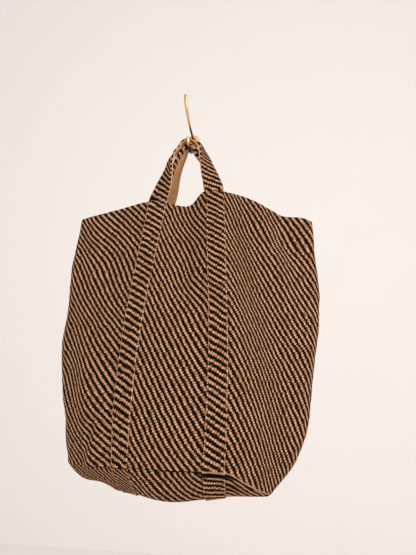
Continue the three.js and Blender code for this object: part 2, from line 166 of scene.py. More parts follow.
# Folds of the hanging cloth, each along a line from (x0, z0) to (x1, z1). ridge stands out from the
# panel, or is a trough where negative, and step lowers the cloth to the right of the line.
FRONT_FOLDS = table(
    "x0 z0 x1 z1 ridge step wide",
    (76, -170, 102, -325, -5, 9, 15),
    (110, -375, 146, -600, -4, 8, 16),
    (148, -130, 176, -225, -4, 6, 14),
    (-6, -100, -12, -260, -12, 0, 34),
    (-182, -180, -150, -345, 4, 0, 16),
    (-128, -150, -168, -300, -4, 0, 22),
    (-196, -340, -186, -590, 4, -3, 22),
    (-30, -300, -40, -560, 4, 0, 40),
    (-165, -520, -186, -592, -4.5, -1.5, 7),
)
BACK_FOLDS = table(
    "x0 z0 x1 z1 ridge step wide",
    (-150, -160, -175, -420, -5, 0, 26),
    (120, -150, 165, -480, -6, 0, 28),
    (0, -110, -5, -300, -7, 0, 30),
)

# Legs of the handles, from the hook (f 0) to the mouth (f 1): twist turns the strap from facing up over
# the rod to lying on its panel, crease folds it lengthways, turn moves its front edge to the left, out is
# its share of the way to the panel, and bow curves the leg outwards.
FRONT_LEFT_LEG = table(
    "f twist crease turn out bow",
    (0.0, 84, 18, 0, 0.0, 0),
    (0.12, 78, 16, 0, 0.04, 6),
    (0.25, 67, 10, 0, 0.21, 8),
    (0.45, 54, 4, 0, 0.62, 3.6),
    (0.75, 26, 0, 0, 0.94, 0.4),
    (1.0, 4, 0, 0, 1.0, 0),
)
FRONT_RIGHT_LEG = table(
    "f twist crease turn out bow",
    (0.0, 84, 18, 0, 0.0, 0),
    (0.12, 77, 6, 0, 0.04, 2.2),
    (0.25, 66, 2, 0, 0.2, 2.6),
    (0.45, 54, 0, 0, 0.62, 1.6),
    (0.75, 26, 0, 0, 0.94, 0.3),
    (1.0, 4, 0, 0, 1.0, 0),
)
BACK_LEFT_LEG = table(
    "f twist crease turn out bow",
    (0.0, 88, 30, 6, 0.0, 0),
    (0.12, 81, 13, 6, 0.02, 3.7),
    (0.25, 76, 5, 4, 0.08, 5.6),
    (0.45, 67, 0, 0, 0.36, 5),
    (0.75, 36, 0, 0, 0.68, 1.5),
    (1.0, 4, 0, 0, 1.0, 0),
)
BACK_RIGHT_LEG = table(
    "f twist crease turn out bow",
    (0.0, 88, 30, 6, 0.0, 0),
    (0.12, 85, 10, 6, 0.02, 1.4),
    (0.25, 81, 3, 4, 0.1, 4),
    (0.45, 69, 0, 0, 0.36, 4),
    (0.75, 36, 0, 0, 0.68, 1.5),
    (1.0, 4, 0, 0, 1.0, 0),
)

# The middle of the bottom of the hook's crook, which the handles rest on
HOOK_SEAT = Vector((-1, -29, -25))

# The two faces of the bag. seat_y is where the handle's middle lies on the hook, peak raises the top of its
# arch, stand holds it off the handle under it, fullness makes the panel fuller toward its sides, and
# rim_drop lowers its mouth.
FRONT = {
    "sign": -1,
    "depth": "front",
    "straps": FRONT_STRAPS,
    "folds": FRONT_FOLDS,
    "left_leg": FRONT_LEFT_LEG,
    "right_leg": FRONT_RIGHT_LEG,
    "seat_y": -31,
    "peak": 2,
    "stand": 6.5,
    "fullness": 2.4,
    "rim_drop": 0,
}
BACK = {
    "sign": 1,
    "depth": "back",
    "straps": BACK_STRAPS,
    "folds": BACK_FOLDS,
    "left_leg": BACK_LEFT_LEG,
    "right_leg": BACK_RIGHT_LEG,
    "seat_y": HOOK_SEAT.y,
    "peak": 0,
    "stand": 0,
    "fullness": 6,
    "rim_drop": BACK_RIM_DROP,
}

# Radius of the brass rod at the bottom of its crook
ROD_RADIUS = 2.2

# The weave of the bag by how far down it lies from the plate's centre, in millimetres: the pitch of the
# upright yarns in the middle, beside the right strap and at the right, and of the rows.
WEAVE = table(
    "down middle beside right row",
    (100, 1.75, 2.1, 2.4, 2.95),
    (170, 1.8, 2.2, 2.3, 3.1),
    (280, 1.95, 2.4, 2.0, 3.35),
    (385, 2.15, 2.5, 2.0, 3.95),
    (490, 2.25, 2.55, 1.9, 4.25),
    (600, 2.4, 2.55, 1.9, 4.9),
)

# The weave left of the left strap: the pitch of its upright yarns and of its rows.
LEFT_WEAVE = table(
    "down yarn row",
    (100, 2.45, 3.0),
    (174, 2.41, 2.86),
    (226, 2.25, 3.5),
    (278, 2.28, 3.3),
    (329, 2.3, 2.15),
    (381, 2.7, 2.85),
    (432, 3.0, 3.45),
    (484, 3.4, 3.0),
    (535, 3.6, 2.45),
    (600, 3.7, 2.45),
)
WEAVE_ZERO = -22

# The weave of the base under its crease: the pitch of its yarns and of its rows across the bag.
BASE_WEAVE = table(
    "x yarn row",
    (-200, 1.6, 2.1),
    (-150, 1.7, 2.2),
    (-115, 1.8, 2.5),
    (-60, 2.9, 4.5),
    (-25, 2.3, 4.3),
    (22, 2.7, 2.9),
    (75, 12, 2.4),
    (150, 14, 2.4),
)

# How far down the shade in the crease over the base reaches on the cloth.
CREASE = table(
    "x shade",
    (-205, 0.1),
    (-170, 1.5),
    (-110, 3),
    (-60, 3.5),
    (-30, 4.5),
    (22, 5),
    (40, 9.5),
    (74, 8.5),
    (100, 7.5),
    (150, 7),
)

# How far each part of a strap is sheared along itself, in yarns to each row of beads, by how far down it
# lies: on the free handles, on the panel, and under the crease of the base.
HANDLE_SHEAR = table(
    "down left right",
    (20, 0.0, -0.1),
    (50, 0.0, -0.4),
    (75, 0.4, -0.55),
    (118, 0.9, -0.6),
)
PANEL_SHEAR = table(
    "down left right",
    (300, 0.0, 0.0),
    (360, 0.0, 0.25),
    (415, 0.0, 0.2),
    (460, 0.0, 0.0),
)
BASE_SHEAR = table(
    "down left right",
    (570, 0.0, 0.65),
    (660, 0.0, 0.75),
)

# Places where the cloth of the front is turned in its own plane, by how much at the middle of each.
SWIRLS = table(
    "x z reach degrees",
    (-135, -165, 110, -10),
    (14, -170, 60, -12),
    (16, -285, 60, -12),
    (190, -215, 60, -6),
)

# Where the rows lie closer together between two straps: how many more lie between top and bottom.
GATHERS = table(
    "left right top bottom rows",
    (-108, 52, 535, 605, 5),
)

# Where the cloth is drawn together sideways, and how many more upright yarns lie across each place.
LEFT_CROWD = table(
    "down x ends",
    (110, -190, 2),
    (329, -200, 2),
    (381, -192, 6),
    (432, -200, 14),
    (484, -200, 12),
    (535, -204, 9),
    (600, -204, 8),
)
LEFT_TUCK = table(
    "down x ends",
    (505, -165, 0),
    (555, -177, 3),
    (590, -186, 5),
    (640, -186, 5),
)
RIGHT_CROWD = table(
    "down x ends",
    (100, 82, 15),
    (170, 91, 15),
    (225, 102, 15),
    (280, 110, 15),
    (330, 122, 15),
    (385, 132, 14),
    (440, 143, 13),
    (490, 148, 12),
    (600, 152, 10),
)
TOP_RIGHT_CROWD = table(
    "down x ends",
    (110, 132, 6),
    (170, 148, 7),
    (225, 172, 5),
    (320, 195, 0),
)

# Cells of the fine cloth
CAP_CELLS = 7
OUTER_CELLS = 24
STRAP_CELLS = 8
MIDDLE_CELLS = 36
PANEL_ROWS = 132
BASE_ROWS = 26
LEG_CELLS = 34
ARCH_CELLS = 28
PANEL_CELLS = 2 * (CAP_CELLS + OUTER_CELLS + STRAP_CELLS) + MIDDLE_CELLS
LEFT_STRAP = CAP_CELLS + OUTER_CELLS
RIGHT_STRAP = LEFT_STRAP + STRAP_CELLS + MIDDLE_CELLS

# Where the first row of beads of a strap is cut by its edge, in rows
STRAP_EDGE = 0.35

# Lengths down the front and along the base, in millimetres, and what a place out of the crease is given
PANEL_HEIGHT = 470
BASE_DEPTH = 92
NO_CREASE = (-100.0, 0.1)

# The power by which the base's rows of cells crowd toward its crease
BASE_CROWDING = 1.35

# How far down the mouth and the base's crease lie, and how far down the rows of the weave are counted
MOUTH_DOWN = 110
CREASE_DOWN = 590
LOWEST = 700

# Half the width in which the weave changes from one side of a strap to the other
STRAP_BLEND = 16

# Width of each kind of crowded place in the weave
CROWD_WIDE = 15
TUCK_WIDE = 4
TOP_RIGHT_WIDE = 8

# The back's weave changes evenly from its left edge across its width, and its yarns have this pitch
BACK_LEFT = -222
BACK_WIDE = 440
BACK_PITCH = 1.8

# Waves that make the hanging cloth uneven: their length and their height
LARGE_WAVE = 34
LARGE_RISE = 1.3
SMALL_WAVE = 9
SMALL_RISE = 0.8

# The twill: yarns in one pitch of its stripes, and yarns under a natural bead on the bag and on a strap
STRIPE_YARNS = 5.0
BAG_NATURAL = 2.38
STRAP_NATURAL = 2.3

# A strap's weave under the crease: the pitch of its yarns, and how much finer the rows at its left are
BASE_YARN = {"left": 1.8, "right": 2.2}
BASE_FINE = 1.9

# The photograph's frame and lens, in pixels
PHOTO_WIDTH = 416
PHOTO_FOCAL = 607

# The camera looks level at this point from this far away, in metres, and stands round to its right
VIEW_TARGET = Vector((0.0364, -0.065, -0.2559))
VIEW_DISTANCE = 1.08
VIEW_TURN = math.radians(8)


def mix(a, b, t):
    return a + (b - a) * t


def smooth(t, low, high):
    x = min(1.0, max(0.0, (t - low) / (high - low)))
    return x * x * (3 - 2 * x)


def along(rows, key, at, column):
    """A column of a table read at a place between its rows, along a smooth curve through them."""
    last = len(rows) - 1
    place = min(max(at, rows[0][key]), rows[last][key])
    i = 0
    while i < last - 1 and place > rows[i + 1][key]:
        i += 1

    def slope(n):
        a = rows[max(n - 1, 0)]
        b = rows[min(n + 1, last)]
        return (b[column] - a[column]) / (b[key] - a[key])

    span = rows[i + 1][key] - rows[i][key]
    t = (place - rows[i][key]) / span
    start = rows[i][column] * (1 + 2 * t) * (1 - t) ** 2 + slope(i) * span * t * (1 - t) ** 2
    end = rows[i + 1][column] * t * t * (3 - 2 * t) + slope(i + 1) * span * t * t * (t - 1)
    return start + end


def fold_shape(fold, x, z):
    """How strong a fold is at a height, and how far across it a point lies in fold widths."""
    length = fold["z0"] - fold["z1"]
    t = (fold["z0"] - z) / length
    away = x - mix(fold["x0"], fold["x1"], min(1.0, max(0.0, t)))
    past = max(0.0, -t, t - 1) * length
    fade = math.exp(-((past / (2 * fold["wide"])) ** 2))
    return fade, away / fold["wide"]


def lift(folds, x, z):
    """How far the folds of one panel lift the cloth at a point."""
    total = 0.0
    for fold in folds:
        fade, near = fold_shape(fold, x, z)
        total += fade * fold["ridge"] * math.exp(-near * near)
        total -= fade * fold["step"] * math.tanh(1.5 * near) * math.exp(-((near / 4) ** 2))
    return total


def columns_at(face, v):
    """Where the columns of the cloth stand across a panel, the straps' edges on columns of their own."""
    left = along(face["straps"], "v", v, "left")
    right = along(face["straps"], "v", v, "right")
    left_half = along(face["straps"], "v", v, "left_wide") / 2
    right_half = along(face["straps"], "v", v, "right_wide") / 2
    edge_left = along(SIDES, "v", v, "left")
    edge_right = along(SIDES, "v", v, "right")
    round_left = along(SIDES, "v", v, "round_left")
    round_right = along(SIDES, "v", v, "round_right")
    turns = [1 - math.cos(math.pi / 2 * i / CAP_CELLS) for i in range(CAP_CELLS + 1)]
    xs = [edge_left + round_left * turn for turn in turns]
    stops = [
        (left - left_half, OUTER_CELLS),
        (left + left_half, STRAP_CELLS),
        (right - right_half, MIDDLE_CELLS),
        (right + right_half, STRAP_CELLS),
        (edge_right - round_right, OUTER_CELLS),
    ]
    for stop, cells in stops:
        start = xs[-1]
        xs.extend(mix(start, stop, i / cells) for i in range(1, cells + 1))
    xs.extend(edge_right - round_right * turn for turn in reversed(turns[:-1]))
    return xs


def panel_point(face, x, v):
    """A point of the outer face of a panel."""
    left = along(SIDES, "v", v, "left")
    right = along(SIDES, "v", v, "right")
    s = 2 * (x - left) / (right - left) - 1
    radius = along(SIDES, "v", v, "round_left" if s < 0 else "round_right")
    from_edge = max(0.0, min(x - left, right - x))
    turned = min(from_edge, radius)
    cap = math.sqrt(max(0.0, radius * radius - (radius - turned) ** 2))
    corner = along(DEPTHS, "v", v, "corner")
    reach = abs(along(DEPTHS, "v", v, face["depth"]) - corner)
    swell = (reach - radius) * (1 - abs(s) ** face["fullness"])
    drop = face["rim_drop"] * (1 - v) * (1 - s**4)
    z = mix(along(RIM, "s", s, "z") - drop, along(FOLD, "s", s, "z"), v)
    calm = smooth(from_edge, 0, 3 * radius)
    return Vector((x, corner + face["sign"] * (cap + swell + calm * lift(face["folds"], x, z)), z))


def spine_point(x):
    """A point of the lowest line of the base, under one column of the front."""
    left = SIDES[-1]["left"]
    right = SIDES[-1]["right"]
    s = 2 * (x - left) / (right - left) - 1
    placed = mix(SPINE_LEFT, SPINE_RIGHT, (s + 1) / 2)
    return Vector((placed, SPINE_Y, along(SPINE, "s", s, "z") + along(SPINE_RISE, "x", placed, "rise")))


def base_crease(face, x, under):
    """How the cloth of the base is drawn in just under its fold at the front."""
    if face is BACK or under == 0:
        return Vector((0, 0, 0))
    strap = min(abs(x - FRONT_STRAPS[-1]["left"]), abs(x - FRONT_STRAPS[-1]["right"]))
    depth = mix(1.2, 3.2, smooth(strap, 14, 26)) * smooth(x, -205, -170) * (1 - smooth(x, 125, 148))
    fade = math.exp(-(((under - 0.035) / 0.03) ** 2))
    return Vector((0, 1, 0.7)) * depth * fade


def base_share(j):
    """How far a row of the bag lies along the base, from its crease 0 to its lowest line 1."""
    return (max(0, j - PANEL_ROWS) / BASE_ROWS) ** BASE_CROWDING


@functools.lru_cache(maxsize=1)
def body_rows():
    """The outer face of the bag as rows of points in millimetres.

    Each row runs from the right edge across the front to the left edge, and back across the back.
    """
    spines = [spine_point(x) for x in columns_at(FRONT, 1)]
    rows = []
    for j in range(PANEL_ROWS + BASE_ROWS + 1):
        v = min(1.0, j / PANEL_ROWS)
        under = base_share(j)
        sag = math.sin(math.pi / 2 * under)
        row = []
        for face, order in ((FRONT, range(PANEL_CELLS, -1, -1)), (BACK, range(1, PANEL_CELLS + 1))):
            xs = columns_at(face, v)
            for column in order:
                point = panel_point(face, xs[column], v)
                spine = spines[column]
                placed = point.lerp(spine, under)
                placed.z = mix(point.z, spine.z, sag)
                uneven = noise.noise(placed / LARGE_WAVE) * LARGE_RISE
                uneven += noise.noise(placed / SMALL_WAVE) * SMALL_RISE
                away = Vector((placed.x, 3 * (placed.y - SPINE_Y), 0)).normalized()
                row.append(placed + base_crease(face, xs[column], under) + away * uneven * min(1, 4 * v))
        rows.append(row)
    return rows


@functools.lru_cache(maxsize=1)
def body_normals():
    """The outward normals of the bag's outer face, point by point."""
    rows = body_rows()
    last = len(rows) - 1
    ring = len(rows[0]) - 1
    normals = []
    for j, row in enumerate(rows):
        line = []
        for k in range(ring + 1):
            before = row[k - 1 if k else ring - 1]
            after = row[k + 1 if k < ring else 1]
            above = rows[max(j - 1, 0)][k]
            below = rows[min(j + 1, last)][k]
            if j == last:
                before = rows[last - 1][k]
                after = rows[last - 1][2 * PANEL_CELLS - k]
                above, below = row[max(k - 1, 0)], row[min(k + 1, ring)]
            line.append((after - before).cross(below - above).normalized())
        normals.append(line)
    return normals


def right_of_strap(x, z):
    """How far across the left strap of the front a point lies, 0 left of it and 1 right of it."""
    middle = along(FRONT_STRAPS, "v", (-z - MOUTH_DOWN) / (CREASE_DOWN - MOUTH_DOWN), "left")
    return smooth(x, middle - STRAP_BLEND, middle + STRAP_BLEND)


def yarn_pitch(x, z, on_front):
    """The pitch of the upright yarns at a point, between the columns of the weave's table."""

    def pitch(column):
        return along(WEAVE, "down", -z, column)

    if not on_front:
        return mix(BACK_PITCH, pitch("right"), smooth(x, 60, 200))
    if x < 0:
        return mix(along(LEFT_WEAVE, "down", -z, "yarn"), pitch("middle"), right_of_strap(x, z))
    return mix(mix(pitch("middle"), pitch("beside"), smooth(x, 0, 30)), pitch("right"), smooth(x, 60, 110))


@functools.lru_cache(maxsize=2)
def rows_by_height(at_left):
    """How many rows of the weave lie above each whole millimetre below the plate's centre."""
    weave = LEFT_WEAVE if at_left else WEAVE
    passed = [0.0]
    for down in range(1, LOWEST):
        passed.append(passed[-1] + 1 / along(weave, "down", down, "row"))
    return passed


def across_back(x):
    """How far across the back a point lies, from 0 at its left edge to 1."""
    return min(1.0, max(0.0, (x - BACK_LEFT) / BACK_WIDE))


def rows_above(x, z, on_front):
    """How many rows of the weave lie above a point of the front or the back."""
    down = int(-z)

    def above(passed):
        return mix(passed[down], passed[down + 1], -z - down)

    left = above(rows_by_height(True))
    others = above(rows_by_height(False))
    if not on_front:
        return mix(left, others, across_back(x))
    more = 0.0
    for gather in GATHERS:
        near = smooth(x, gather["left"] - STRAP_BLEND, gather["left"] + STRAP_BLEND)
        near *= 1 - smooth(x, gather["right"] - STRAP_BLEND, gather["right"] + STRAP_BLEND)
        more += gather["rows"] * near * smooth(-z, gather["top"], gather["bottom"])
    return mix(left, others, right_of_strap(x, z)) + more


def crowd(places, x, z, wide, way):
    """How many yarns a crowded place adds beyond it, on its right where way is 1 and its left where -1."""
    away = way * (x - along(places, "down", -z, "x")) / wide
    return way * along(places, "down", -z, "ends") * (1 + math.tanh(0.8 * away)) / 2


def crowding(x, z, on_front):
    """How many upright yarns the crowded places add at a point."""
    if not on_front:
        return -along(LEFT_CROWD, "down", -z, "ends") * (1 - across_back(x))
    added = crowd(LEFT_CROWD, x, z, CROWD_WIDE, -1) + crowd(LEFT_TUCK, x, z, TUCK_WIDE, -1)
    return added + crowd(RIGHT_CROWD, x, z, CROWD_WIDE, 1) + crowd(TOP_RIGHT_CROWD, x, z, TOP_RIGHT_WIDE, 1)


def swirled(x, z):
    """Where a point of the front lay in its cloth before the cloth was turned there."""
    for swirl in SWIRLS:
        dx = x - swirl["x"]
        dz = z - swirl["z"]
        near = 1 - (dx * dx + dz * dz) / swirl["reach"] ** 2
        if near > 0:
            turn = math.radians(swirl["degrees"]) * near * near
            x = swirl["x"] + dx * math.cos(turn) - dz * math.sin(turn)
            z = swirl["z"] + dx * math.sin(turn) + dz * math.cos(turn)
    return x, z


def yarns_across(row, pitch):
    """The upright yarns passed along a row of points, counted from the line x = WEAVE_ZERO on the front."""
    zero = min(range(PANEL_CELLS + 1), key=lambda k: abs(row[k].x - WEAVE_ZERO))
    across = [0.0] * len(row)
    across[zero] = (row[zero].x - WEAVE_ZERO) / pitch(row[zero], True)
    for k in range(zero + 1, len(row)):
        across[k] = across[k - 1] - (row[k] - row[k - 1]).xy.length / pitch(row[k], k <= PANEL_CELLS)
    for k in range(zero - 1, -1, -1):
        across[k] = across[k + 1] + (row[k] - row[k + 1]).xy.length / pitch(row[k], True)
    return across


@functools.lru_cache(maxsize=1)
def body_weave():
    """The weave of the panels as rows of counts: upright yarns passed, and rows passed."""
    weave = []
    for row in body_rows()[: PANEL_ROWS + 1]:
        across = yarns_across(row, lambda point, on_front: yarn_pitch(point.x, point.z, on_front))
        line = []
        for k, point in enumerate(row):
            on_front = k <= PANEL_CELLS
            x, z = swirled(point.x, point.z) if on_front else (point.x, point.z)
            moved = (x - point.x) / yarn_pitch(point.x, point.z, on_front)
            line.append((across[k] + moved + crowding(x, z, on_front), rows_above(x, z, on_front)))
        weave.append(line)
    return weave


@functools.lru_cache(maxsize=1)
def base_weave():
    """The weave of the base under its crease, counted like that of the panels."""
    rows = body_rows()[PANEL_ROWS:]
    passed = [0.0] * len(rows[0])
    weave = []
    for j, row in enumerate(rows):
        across = yarns_across(row, lambda point, on_front: along(BASE_WEAVE, "x", point.x, "yarn"))
        if j:
            for k, point in enumerate(row):
                passed[k] += (point - rows[j - 1][k]).length / along(BASE_WEAVE, "x", point.x, "row")
        weave.append(list(zip(across, passed)))
    return weave


def in_crease(x, j):
    """How far under the front's crease a point of a row lies, and how far its shade reaches there."""
    if j > PANEL_ROWS:
        under = base_share(j) * BASE_DEPTH
    else:
        under = (j - PANEL_ROWS) * PANEL_HEIGHT / PANEL_ROWS
    return under, along(CREASE, "x", x, "shade")


def select_only(piece):
    bpy.ops.object.select_all(action="DESELECT")
    piece.select_set(True)
    bpy.context.view_layer.objects.active = piece


def sheet_of_cells(name, across, down, place, maps):
    """A sheet made of the grid primitive, each point put in place, with UV maps given cell by cell."""
    bpy.ops.object.select_all(action="DESELECT")
    bpy.ops.mesh.primitive_grid_add(x_subdivisions=across, y_subdivisions=down, size=2)
    piece = bpy.context.active_object
    piece.name = name
    mesh = piece.data
    mesh.name = name
    cells = [(round((p.co.x + 1) / 2 * across), round((p.co.y + 1) / 2 * down)) for p in mesh.vertices]
    mesh.uv_layers.remove(mesh.uv_layers.active)
    for title in maps:
        mesh.uv_layers.new(name=title)
    for face in mesh.polygons:
        first_row = min(cells[v][1] for v in face.vertices)
        for loop in face.loop_indices:
            i, j = cells[mesh.loops[loop].vertex_index]
            for title, value in maps.items():
                mesh.uv_layers[title].data[loop].uv = value(i, j, first_row)
    for point, (i, j) in zip(mesh.vertices, cells):
        point.co = place(i, j) * MM
    return piece


def merge_points(piece):
    select_only(piece)
    bpy.ops.object.mode_set(mode="EDIT")
    bpy.ops.mesh.select_all(action="SELECT")
    bpy.ops.mesh.remove_doubles(threshold=0.00001)
    bpy.ops.object.mode_set(mode="OBJECT")


def thicken(piece, thickness, offset, edge=0.0):
    """Gives a sheet its thickness, with rounded edges where edge is their radius."""
    select_only(piece)
    solidify = piece.modifiers.new("thickness", "SOLIDIFY")
    solidify.thickness = thickness
    solidify.offset = offset
    solidify.use_even_offset = False
    solidify.use_quality_normals = True
    bpy.ops.object.modifier_apply(modifier=solidify.name)
    if edge:
        bevel = piece.modifiers.new("edge", "BEVEL")
        bevel.width = edge
        bevel.segments = 2
        bevel.limit_method = "ANGLE"
        bevel.angle_limit = math.radians(50)
        bpy.ops.object.modifier_apply(modifier=bevel.name)
    bpy.ops.object.shade_smooth_by_angle(angle=math.radians(50))


class Wires:
    """Short names for the nodes that a material is wired from."""

    def __init__(self, name):
        self.material = bpy.data.materials.new(name)
        self.material.use_nodes = True
        self.tree = self.material.node_tree
        self.shader = self.tree.nodes["Principled BSDF"]

    def node(self, kind, **settings):
        made = self.tree.nodes.new(kind)
        for key, value in settings.items():
            setattr(made, key, value)
        return made

    def link(self, source, target):
        self.tree.links.new(source, target)

    def fill(self, socket, value):
        if isinstance(value, bpy.types.NodeSocket):
            self.link(value, socket)
        else:
            socket.default_value = value

    def math(self, operation, a, b=0.0, c=0.0):
        made = self.node("ShaderNodeMath", operation=operation)
        for socket, value in zip(made.inputs, (a, b, c)):
            self.fill(socket, value)
        return made.outputs[0]

    def plus(self, a, b):
        return self.math("ADD", a, b)

    def minus(self, a, b):
        return self.math("SUBTRACT", a, b)

    def times(self, a, b):
        return self.math("MULTIPLY", a, b)

    def larger(self, a, b):
        return self.math("MAXIMUM", a, b)

    def step(self, value, low, high, start=0.0, end=1.0):
        made = self.node("ShaderNodeMapRange", interpolation_type="SMOOTHSTEP")
        for socket, given in zip(made.inputs, (value, low, high, start, end)):
            self.fill(socket, given)
        return made.outputs[0]

    def blend(self, share, a, b, blend_type="MIX"):
        made = self.node("ShaderNodeMix", data_type="RGBA", blend_type=blend_type)
        self.fill(made.inputs[0], share)
        self.fill(made.inputs[6], a)
        self.fill(made.inputs[7], b)
        return made.outputs[2]

    def vector(self, x, y, z=0.0):
        made = self.node("ShaderNodeCombineXYZ")
        for socket, value in zip(made.inputs, (x, y, z)):
            self.fill(socket, value)
        return made.outputs[0]

    def parts(self, vector):
        made = self.node("ShaderNodeSeparateXYZ")
        self.link(vector, made.inputs[0])
        return made.outputs

    def uv(self, title):
        return self.parts(self.node("ShaderNodeUVMap", uv_map=title).outputs[0])

    def place(self):
        return self.node("ShaderNodeTexCoord").outputs["Object"]

    def noise(self, place, scale, detail=2.0):
        made = self.node("ShaderNodeTexNoise")
        self.link(place, made.inputs["Vector"])
        made.inputs["Scale"].default_value = scale
        made.inputs["Detail"].default_value = detail
        return made.outputs["Fac"]

    def chance(self, place):
        made = self.node("ShaderNodeTexWhiteNoise", noise_dimensions="3D")
        self.link(place, made.inputs["Vector"])
        return made.outputs["Value"]

    def bump(self, height, distance):
        made = self.node("ShaderNodeBump")
        made.inputs["Distance"].default_value = distance
        self.link(height, made.inputs["Height"])
        self.link(made.outputs["Normal"], self.shader.inputs["Normal"])

    def matt(self, colour, roughness, specular):
        self.link(colour, self.shader.inputs["Base Color"])
        self.shader.inputs["Roughness"].default_value = roughness
        self.shader.inputs["Specular IOR Level"].default_value = specular


def twill(name, repeat, natural_ends, edge_at=None):
    """A twill of natural and black beads, drawn on counts of yarns.

    repeat is the yarns in one stripe pitch, and natural_ends those that a natural bead covers. edge_at is
    the count of rows across a strip that is sewn on, where a natural thread runs along both edges.
    """
    colours = bag_colours()
    wires = Wires(name)
    counts = wires.uv("weave")
    place = wires.place()
    wander = wires.minus(wires.noise(place, 60.0), 0.5)
    sway = wires.minus(wires.noise(place, 260.0), 0.5)
    ends = wires.math("MULTIPLY_ADD", wander, 1.5, counts[0])
    rows = wires.math("MULTIPLY_ADD", sway, 0.5, counts[1])
    row = wires.math("FLOOR", rows)
    upright = wires.math("MULTIPLY_ADD", wires.minus(rows, row), 2.0, -1.0)
    shifted = wires.minus(ends, row)
    stripe = wires.math("FLOOR", wires.math("DIVIDE", shifted, repeat))
    in_stripe = wires.minus(shifted, wires.times(stripe, repeat))
    luck = wires.chance(wires.vector(stripe, row, 3.0))
    ragged = wires.times(wires.minus(wires.noise(place, 620.0), 0.5), 1.7)
    tooth = wires.times(wires.minus(luck, 0.5), 0.9)
    lies_at = wires.plus(in_stripe, tooth)

    def bead(middle, half, flat):
        across = wires.math("DIVIDE", wires.minus(lies_at, middle), half)
        round_part = wires.math("POWER", wires.math("ABSOLUTE", across), 2.4)
        flat_part = wires.math("POWER", wires.times(wires.math("ABSOLUTE", upright), flat), 2.6)
        return wires.plus(wires.plus(round_part, flat_part), ragged)

    natural_half = natural_ends / 2
    black_half = (repeat - natural_ends) / 2
    natural_far = bead(natural_half, natural_half, 0.93)
    black_far = bead(natural_ends + black_half, black_half, 0.9)
    natural_bead = wires.step(natural_far, 1.3, 0.9)
    black_bead = wires.step(black_far, 1.15, 0.65)
    crown = wires.math("SQRT", wires.larger(wires.minus(1.2, natural_far), 0.0))
    black_crown = wires.math("SQRT", wires.larger(wires.minus(1.2, black_far), 0.0))
    strands = wires.vector(wires.times(ends, 0.6), wires.times(rows, 5.0))
    fibre = wires.noise(strands, 1.6, 3.0)
    tone = wires.math("MULTIPLY_ADD", luck, 0.4, wires.times(fibre, 0.5))
    natural = wires.blend(wires.step(tone, 0.1, 0.68), colours.natural_dark, colours.natural_light)
    # Painted shade and highlight: each natural bead is darkened toward its edges and brightest at its
    # crown, as light falls on its roundness.
    natural = wires.blend(1.0, natural, wires.step(crown, 0.15, 1.0, 0.34, 1.08), "MULTIPLY")
    black = wires.blend(wires.step(fibre, 0.5, 0.8), colours.black, colours.black_worn)
    colour = wires.blend(black_bead, colours.between, black)
    colour = wires.blend(natural_bead, colour, natural)
    height = wires.larger(crown, wires.times(black_crown, 0.8))
    if edge_at:
        across = wires.uv("across")[0]
        from_edge = wires.math("MINIMUM", across, wires.minus(1.0, across))
        from_edge = wires.times(from_edge, edge_at)
        near_edge = wires.step(wires.math("MULTIPLY_ADD", sway, 0.9, from_edge), 0.38, 0.18)
        shown = wires.step(wires.noise(place, 330.0, 1.0), 0.42, 0.56)
        on_bag = wires.step(wires.parts(place)[2], -0.11, -0.13)
        sewn = wires.times(wires.times(near_edge, shown), on_bag)
        colour = wires.blend(wires.times(sewn, 0.6), colour, colours.thread)
        height = wires.larger(height, sewn)
    crease = wires.uv("crease")
    below = wires.math("MULTIPLY_ADD", wander, 3.0, crease[0])
    reach = crease[1]
    lit = wires.times(wires.step(below, -2.6, -1.6), wires.step(below, 0.3, -0.3))
    lit = wires.times(lit, wires.step(reach, 5.0, 7.5, 0.0, 0.75))
    colour = wires.blend(lit, colour, colours.natural_light)
    share = wires.math("DIVIDE", below, reach)
    shade = wires.times(wires.step(share, 0.0, 0.1), wires.step(share, 1.1, 0.85, 0.0, 0.97))
    colour = wires.blend(shade, colour, colours.black)
    wires.matt(colour, 0.9, 0.05)
    fuzz = wires.times(wires.noise(place, 900.0, 3.0), 0.3)
    wires.bump(wires.plus(height, fuzz), 0.0016)
    return wires.material


def plain_tape(name):
    """Plain tan jute tape: fine over-and-under yarns with slubs."""
    colours = bag_colours()
    wires = Wires(name)
    ends, rows = wires.uv("weave")[:2]
    over = wires.math("SINE", wires.times(ends, 2 * math.pi * 1.6))
    under = wires.math("SINE", wires.times(rows, 2 * math.pi * 1.6))
    knit = wires.times(over, under)
    streaks = wires.noise(wires.vector(wires.times(ends, 3.0), rows), 2.2, 4.0)
    tone = wires.plus(wires.times(knit, 0.16), streaks)
    colour = wires.blend(wires.step(tone, 0.2, 0.85), colours.tape_dark, colours.tape)
    shifted = wires.minus(ends, wires.math("FLOOR", rows))
    stripe = wires.math("FRACT", wires.math("DIVIDE", shifted, STRIPE_YARNS))
    ticks = wires.blend(wires.step(stripe, 0.44, 0.54), colours.natural_light, colours.black)
    colour = wires.blend(wires.step(rows, 2.5, 2.3), colour, ticks)
    wires.matt(colour, 0.88, 0.2)
    fuzz = wires.times(wires.noise(wires.place(), 700.0, 3.0), 0.5)
    wires.bump(wires.plus(knit, fuzz), 0.0005)
    return wires.material


